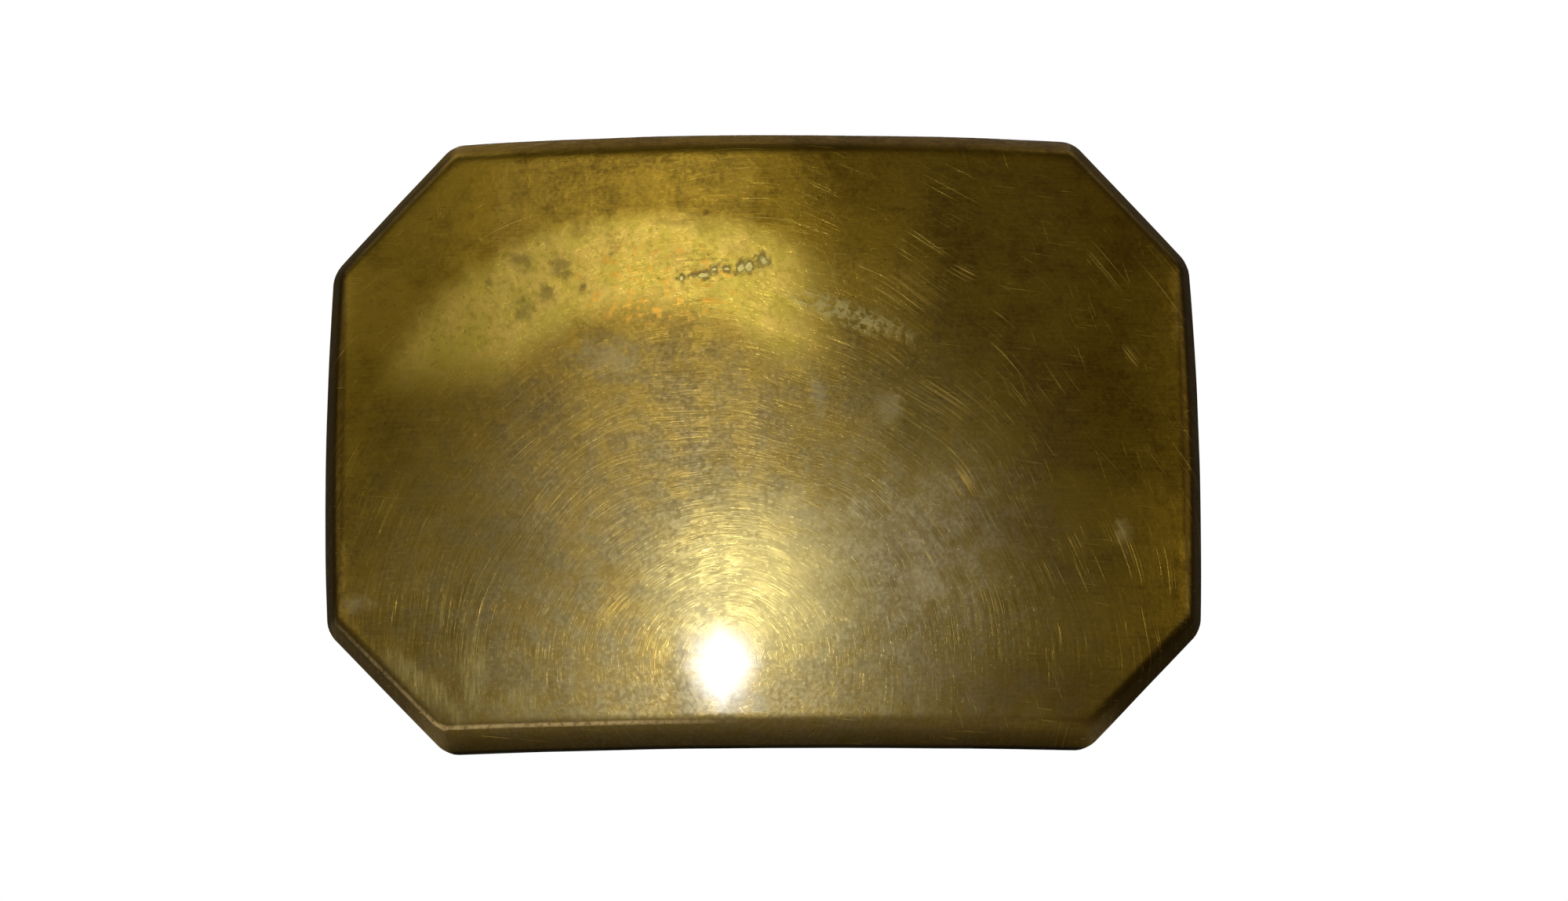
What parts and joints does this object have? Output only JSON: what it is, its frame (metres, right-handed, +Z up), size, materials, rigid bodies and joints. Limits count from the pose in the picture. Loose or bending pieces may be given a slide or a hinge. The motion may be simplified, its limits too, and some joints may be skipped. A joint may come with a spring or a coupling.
{
  "type": "plate belt buckle",
  "caption": "Curved brass plate belt buckle with clipped corners, a hinged wire bail for one end of the belt and a fixed peg for the holes in the other.",
  "frame": {"origin": "on the surface that the buckle stands on by its lower long edge, midway across the plate and midway between the face and the tip of the peg", "axes": "+Z up as worn, -Y out of the face away from the wearer, +X towards the peg's end of the plate"},
  "size_m": [0.081, 0.017, 0.0575],
  "materials": {
    "aged_brass": "worn polish with brown tarnish and fine scratches",
    "sheet_brass": "dull tarnished sheet",
    "fitting_brass": "satin, rubbed bright on its edges",
    "wire_brass": "drawn wire, rubbed by the belt",
    "rivet_brass": "hammered heads, satin",
    "soft_solder": "dull grey solder"
  },
  "bodies": {
    "plate": {"face_plate": "aged_brass", "rim_solder": "soft_solder", "back_plate": "sheet_brass", "hinge_strap": "fitting_brass", "strap_rivets": "rivet_brass", "hook_pad": "fitting_brass", "pad_rivets": "rivet_brass", "hook_peg": "fitting_brass"},
    "bail": {"belt_bail": "wire_brass"}
  },
  "joints": [
    {"name": "bail_swing", "type": "hinge", "parent": "plate", "child": "bail", "pos_m": [-0.0226, 0.00002, 0.02875], "axis": [0, 0, -1], "range_deg": [0, 180]}
  ]
}
